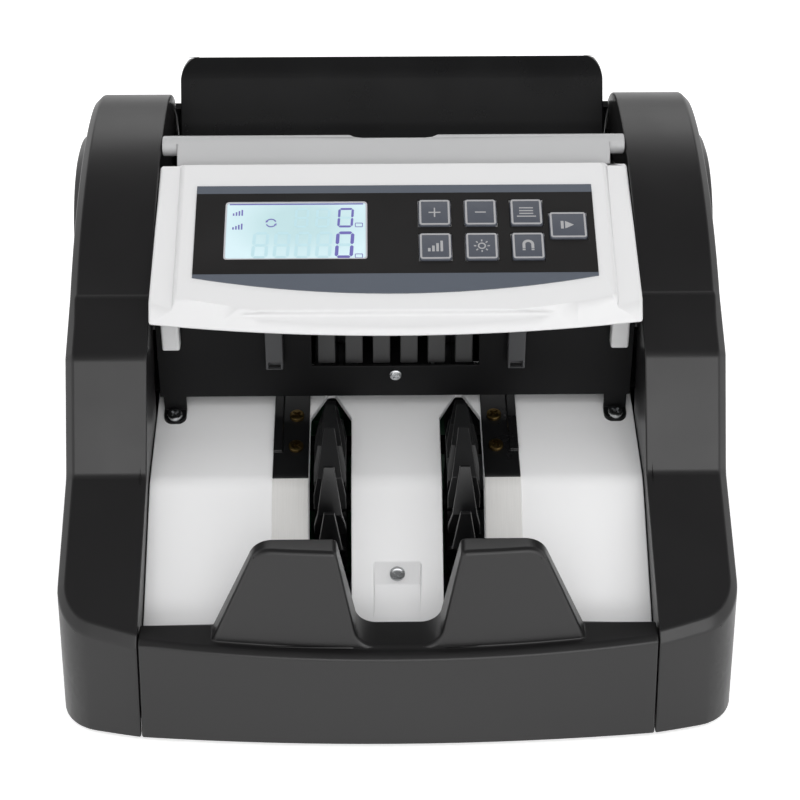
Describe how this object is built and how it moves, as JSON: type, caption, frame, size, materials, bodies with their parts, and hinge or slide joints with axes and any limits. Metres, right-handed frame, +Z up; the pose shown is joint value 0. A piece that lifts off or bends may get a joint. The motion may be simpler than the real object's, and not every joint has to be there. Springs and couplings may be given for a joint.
{
  "type": "banknote counting machine",
  "caption": "Desktop banknote counter with arched side covers, a sloping control panel, a rear hopper, a motor-driven note path and finned wheels that stack the counted notes in a front bay.",
  "frame": {"origin": "on the table, under the middle of the bounding box", "axes": "+X to the right of the user, +Y from the front to the rear, +Z up"},
  "size_m": [0.26, 0.2473, 0.185],
  "materials": {
    "charcoal_plastic": "satin moulded",
    "white_plastic": "satin moulded",
    "silver_plastic": "silver satin",
    "black_plastic": "satin",
    "black_steel": "black powder coat",
    "plain_steel": "brushed",
    "grey_paint": "grey paint",
    "brass": "plain",
    "printed_sheet": "printed, half gloss",
    "key_rubber": "blue grey",
    "display_glass": "backlit panel",
    "board_green": "lacquered",
    "roller_rubber": "ground tread",
    "wheel_plastic": "dark blue grey",
    "aluminium": "turned",
    "rubber": "moulded"
  },
  "bodies": {
    "chassis": {"base_plate": "grey_paint", "rubber_feet": "rubber", "left_frame_plate": "grey_paint", "right_frame_plate": "grey_paint", "tie_rods": "plain_steel", "shaft_bushes": "brass", "left_side_cover": "charcoal_plastic", "right_side_cover": "charcoal_plastic", "front_cover": "charcoal_plastic", "rear_cover": "charcoal_plastic", "cover_screws": "plain_steel", "control_panel": "white_plastic", "keypad_overlay": "printed_sheet", "display_module": "display_glass", "control_board": "board_green", "note_guide_bar": "silver_plastic", "hopper_plate": "black_plastic", "stacker_plate": "white_plastic", "slot_strips": "black_plastic", "strip_screws": "brass", "wear_plates": "plain_steel", "throat_plate": "black_steel", "plate_screws": "plain_steel", "guide_comb": "black_plastic", "sensor_posts": "black_plastic", "lower_guide": "plain_steel", "stripper_bridge": "plain_steel", "main_motor": "grey_paint", "drive_belts": "rubber", "pinch_axle": "plain_steel", "main_board": "board_green", "power_inlet": "black_plastic", "switch_housing": "black_plastic"},
    "motor_rotor": {"motor_pulley": "plain_steel"},
    "drive_line": {"drive_shaft": "plain_steel", "drive_rollers": "roller_rubber", "drive_pulleys": "aluminium"},
    "feed_line": {"feed_shaft": "plain_steel", "feed_rollers": "roller_rubber", "feed_pulleys": "aluminium"},
    "kick_line": {"kick_shaft": "plain_steel", "kick_rollers": "roller_rubber"},
    "pinch_pair": {"pinch_rollers": "black_plastic"},
    "stacker_line": {"stacker_shaft": "plain_steel", "stacker_wheels": "wheel_plastic", "stacker_pulley": "aluminium"},
    "stripper": {"stripper_block": "black_plastic"},
    "knob": {"gap_knob": "black_plastic"},
    "rocker": {"power_rocker": "black_plastic"},
    "key_plus_cap": {"key_plus": "key_rubber"},
    "key_minus_cap": {"key_minus": "key_rubber"},
    "key_batch_cap": {"key_batch": "key_rubber"},
    "key_add_cap": {"key_add": "key_rubber"},
    "key_uv_cap": {"key_uv": "key_rubber"},
    "key_mg_cap": {"key_mg": "key_rubber"},
    "key_start_cap": {"key_start": "key_rubber"}
  },
  "joints": [
    {"name": "drive_spin", "type": "hinge", "parent": "chassis", "child": "drive_line", "pos_m": [0, 0.028, 0.07785], "axis": [1, 0, 0], "continuous": true},
    {"name": "motor_spin", "type": "hinge", "parent": "chassis", "child": "motor_rotor", "pos_m": [0, 0.075, 0.04], "axis": [1, 0, 0], "continuous": true},
    {"name": "feed_spin", "type": "hinge", "parent": "chassis", "child": "feed_line", "pos_m": [0, 0.07065, 0.09861], "axis": [1, 0, 0], "continuous": true},
    {"name": "kick_spin", "type": "hinge", "parent": "chassis", "child": "kick_line", "pos_m": [0, 0.08732, 0.12842], "axis": [1, 0, 0], "continuous": true},
    {"name": "stacker_spin", "type": "hinge", "parent": "chassis", "child": "stacker_line", "pos_m": [0, -0.045, 0.0635], "axis": [1, 0, 0], "continuous": true},
    {"name": "pinch_spin", "type": "hinge", "parent": "chassis", "child": "pinch_pair", "pos_m": [0, 0.028, 0.10115], "axis": [1, 0, 0], "continuous": true},
    {"name": "gap_knob_turn", "type": "hinge", "parent": "chassis", "child": "knob", "pos_m": [0, 0.05066, 0.15], "axis": [0, 0, 1], "range_deg": [0, 720]},
    {"name": "stripper_lift", "type": "slide", "parent": "chassis", "child": "stripper", "axis": [0, 0, 1], "range_m": [0, 0.0016]},
    {"name": "rocker_tilt", "type": "hinge", "parent": "chassis", "child": "rocker", "pos_m": [-0.032, 0.1167, 0.032], "axis": [1, 0, 0], "range_deg": [-14, 0]},
    {"name": "key_plus_press", "type": "slide", "parent": "chassis", "child": "key_plus_cap", "axis": [0, 0.3778, -0.9259], "range_m": [0, 0.0006], "stiffness_N_per_m": 900},
    {"name": "key_minus_press", "type": "slide", "parent": "chassis", "child": "key_minus_cap", "axis": [0, 0.3778, -0.9259], "range_m": [0, 0.0006], "stiffness_N_per_m": 900},
    {"name": "key_batch_press", "type": "slide", "parent": "chassis", "child": "key_batch_cap", "axis": [0, 0.3778, -0.9259], "range_m": [0, 0.0006], "stiffness_N_per_m": 900},
    {"name": "key_add_press", "type": "slide", "parent": "chassis", "child": "key_add_cap", "axis": [0, 0.3778, -0.9259], "range_m": [0, 0.0006], "stiffness_N_per_m": 900},
    {"name": "key_uv_press", "type": "slide", "parent": "chassis", "child": "key_uv_cap", "axis": [0, 0.3778, -0.9259], "range_m": [0, 0.0006], "stiffness_N_per_m": 900},
    {"name": "key_mg_press", "type": "slide", "parent": "chassis", "child": "key_mg_cap", "axis": [0, 0.3778, -0.9259], "range_m": [0, 0.0006], "stiffness_N_per_m": 900},
    {"name": "key_start_press", "type": "slide", "parent": "chassis", "child": "key_start_cap", "axis": [0, 0.3778, -0.9259], "range_m": [0, 0.0006], "stiffness_N_per_m": 900}
  ],
  "couplings": [
    {"joint": "motor_spin", "follows": "drive_spin", "ratio": 1.75},
    {"joint": "feed_spin", "follows": "drive_spin", "ratio": 0.6},
    {"joint": "kick_spin", "follows": "drive_spin", "ratio": 0.72},
    {"joint": "stacker_spin", "follows": "drive_spin", "ratio": 0.35},
    {"joint": "pinch_spin", "follows": "drive_spin", "ratio": -1.875},
    {"joint": "gap_knob_turn", "follows": "stripper_lift", "rad_per_m": 7853}
  ]
}
